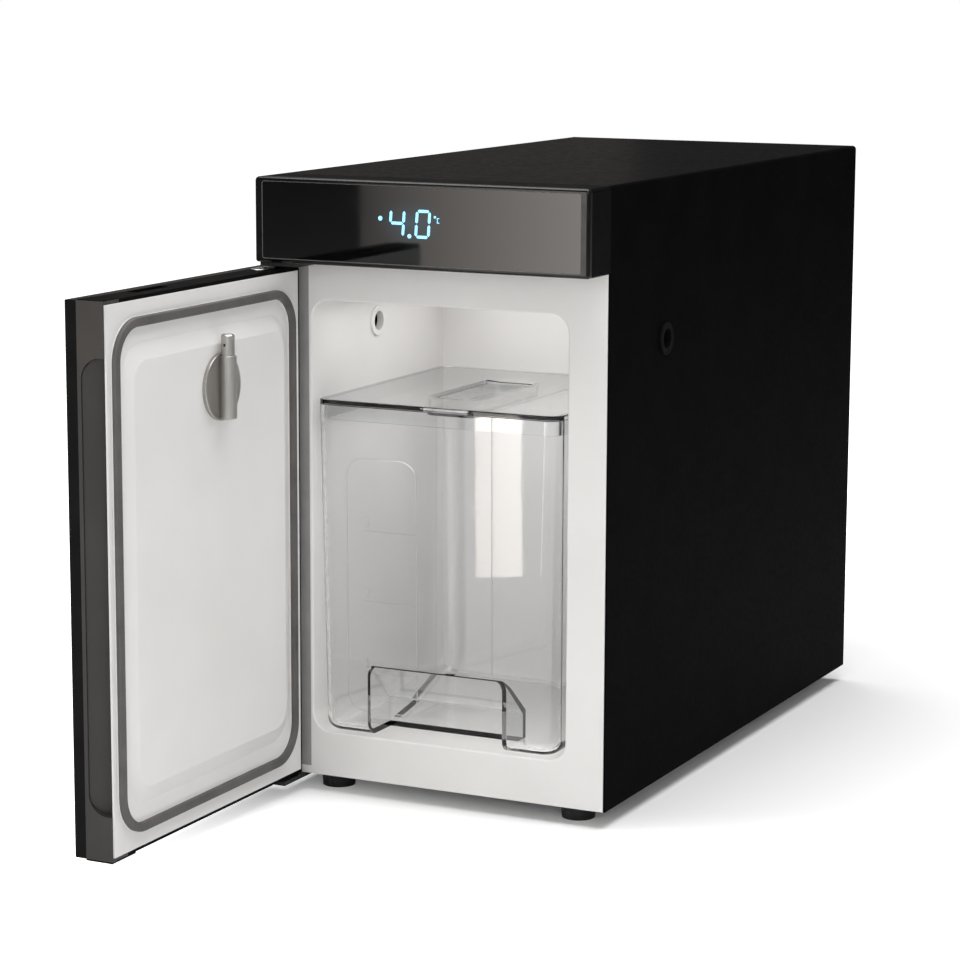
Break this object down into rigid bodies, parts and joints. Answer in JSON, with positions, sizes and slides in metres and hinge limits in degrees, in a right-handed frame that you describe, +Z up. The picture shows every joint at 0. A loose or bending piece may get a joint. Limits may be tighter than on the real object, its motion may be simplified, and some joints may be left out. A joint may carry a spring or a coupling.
{
  "type": "milk refrigerator",
  "caption": "Slim countertop milk cooler with an open hinged door, a header with a lit temperature display, and a clear lidded milk container in a white cavity.",
  "frame": {"origin": "On the floor plane, under the middle of the cabinet's footprint.", "axes": "+X to the right seen from the front, +Y to the rear, +Z up. The door stands open on the left."},
  "size_m": [0.2281, 0.6448, 0.379],
  "materials": {
    "satin_black_paint": "satin",
    "black_plastic": "satin",
    "gloss_black": "gloss",
    "dark_glass": "gloss",
    "white_plastic": "satin",
    "dark_grey_grip": "satin",
    "grey_rubber": "matte",
    "black_rubber": "matte",
    "clear_plastic": "gloss",
    "satin_chrome": "satin",
    "black_steel": "satin",
    "bright_steel": "satin",
    "bare_aluminium": "satin",
    "copper": "satin",
    "foam": "matte",
    "grey_box": "matte",
    "circuit_board": "satin"
  },
  "bodies": {
    "cabinet": {"casing_left": "satin_black_paint", "casing_right": "satin_black_paint", "casing_top": "satin_black_paint", "rear_frame": "satin_black_paint", "base_pan": "bright_steel", "rear_cover": "satin_black_paint", "rear_screws": "bright_steel", "bulkhead_plate": "bright_steel", "foot_screws": "bright_steel", "inner_liner": "white_plastic", "liner_left_panel": "white_plastic", "liner_right_panel": "white_plastic", "liner_back_panel": "white_plastic", "hinge_side_strip": "grey_rubber", "foam_insulation": "foam", "evaporator_plate": "bare_aluminium", "temperature_probe": "copper", "header_housing": "black_plastic", "header_bezel": "gloss_black", "header_glass": "dark_glass", "display_module": "circuit_board", "upper_hinge_bracket": "black_steel", "lower_hinge_bracket": "black_steel", "hinge_screws": "bright_steel", "compressor": "black_steel", "compressor_grommets": "black_rubber", "condenser": "bare_aluminium", "discharge_line": "copper", "filter_drier": "copper", "capillary_tube": "copper", "suction_line": "copper", "fan_frame": "black_plastic", "control_box": "grey_box", "control_board": "circuit_board", "power_inlet": "gloss_black", "switch_body": "gloss_black", "foot_front_left": "black_rubber", "foot_front_right": "black_rubber", "foot_rear_left": "black_rubber", "foot_rear_right": "black_rubber", "hose_bush_left": "white_plastic", "hose_ring_left": "black_plastic", "hose_bush_right": "white_plastic", "hose_ring_right": "black_plastic"},
    "door": {"door_outer_panel": "gloss_black", "door_top_cap": "black_plastic", "door_bottom_cap": "black_plastic", "door_hinge_profile": "black_plastic", "door_grip_profile": "dark_grey_grip", "door_foam": "foam", "door_inner_liner": "white_plastic", "door_gasket": "grey_rubber", "upper_hinge_bush": "black_plastic", "lower_hinge_bush": "black_plastic", "nozzle_holder": "satin_chrome"},
    "nozzle": {"milk_nozzle": "satin_chrome"},
    "container": {"milk_container": "clear_plastic"},
    "lid": {"container_lid": "clear_plastic"},
    "fan": {"fan_rotor": "black_plastic"},
    "rocker": {"switch_rocker": "gloss_black"}
  },
  "joints": [
    {"name": "door_hinge", "type": "hinge", "parent": "cabinet", "child": "door", "pos_m": [-0.09905, -0.22265, 0.16815], "axis": [0, 0, -1], "range_deg": [-90, 10]},
    {"name": "container_slide", "type": "slide", "parent": "cabinet", "child": "container", "axis": [0, -1, 0], "range_m": [0, 0.18]},
    {"name": "lid_lift", "type": "slide", "parent": "container", "child": "lid", "axis": [0, 0, 1], "range_m": [0, 0.03]},
    {"name": "nozzle_lift", "type": "slide", "parent": "door", "child": "nozzle", "axis": [0, 0, 1], "range_m": [0, 0.027]},
    {"name": "fan_spin", "type": "hinge", "parent": "cabinet", "child": "fan", "pos_m": [0.0242, 0.1983, 0.2377], "axis": [0, 1, 0], "continuous": true},
    {"name": "switch_tilt", "type": "hinge", "parent": "cabinet", "child": "rocker", "pos_m": [-0.0217, 0.2113, 0.059], "axis": [1, 0, 0], "range_deg": [0, 16]}
  ]
}
